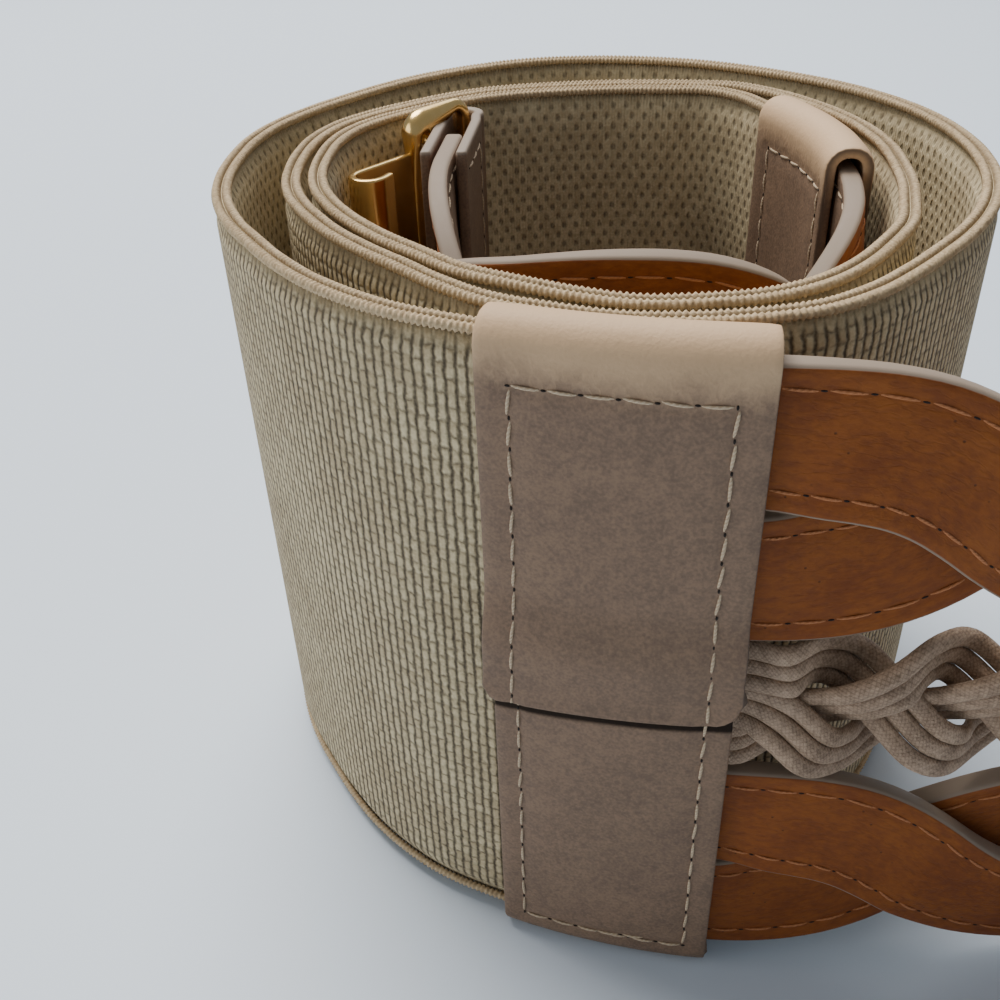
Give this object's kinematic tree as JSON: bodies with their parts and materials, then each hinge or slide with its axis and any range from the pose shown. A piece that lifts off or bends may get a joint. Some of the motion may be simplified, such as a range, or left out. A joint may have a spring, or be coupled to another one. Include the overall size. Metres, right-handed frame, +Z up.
{
  "type": "elastic stretch belt",
  "caption": "Wide woven stretch belt wound into a coil on its edge, with leather tabs, twisted straps beside a flat braid, and a gold hook clasp.",
  "frame": {"origin": "middle of the footprint, on the surface that the belt stands on", "axes": "+Z up, along the belt's width; +X to the right along the free strap section; +Y away from the viewer"},
  "size_m": [0.168, 0.1056, 0.078],
  "materials": {
    "elastic": "woven sandy elastic, matt, with a knitted look on the outer face and small diamond holes on the inner",
    "leather": "taupe leather with a fine wrinkled grain and a soft sheen",
    "strap": "strap leather, taupe on its face and tan brown on its back, light grey cut edges, cream stitching",
    "cord": "greige waxed cord",
    "gold": "polished light gold plating"
  },
  "bodies": {
    "belt": {"elastic_band": "elastic", "outer_elastic_tab": "leather", "inner_elastic_tab": "leather", "outer_strap_1": "strap", "outer_strap_2": "strap", "outer_strap_3": "strap", "outer_strap_4": "strap", "outer_braid_strand_1": "cord", "outer_braid_strand_2": "cord", "outer_braid_strand_3": "cord", "inner_strap_1": "strap", "inner_strap_2": "strap", "inner_strap_3": "strap", "inner_strap_4": "strap", "inner_braid_strand_1": "cord", "inner_braid_strand_2": "cord", "inner_braid_strand_3": "cord", "inner_clasp_tab": "leather", "outer_clasp_tab": "leather", "clasp_ring": "gold"},
    "hook": {"clasp_hook": "gold"}
  },
  "joints": [
    {"name": "hook_swing", "type": "hinge", "parent": "belt", "child": "hook", "pos_m": [-0.05595, 0.02449, 0.039], "axis": [0, 0, 1], "range_deg": [0, 10]}
  ]
}
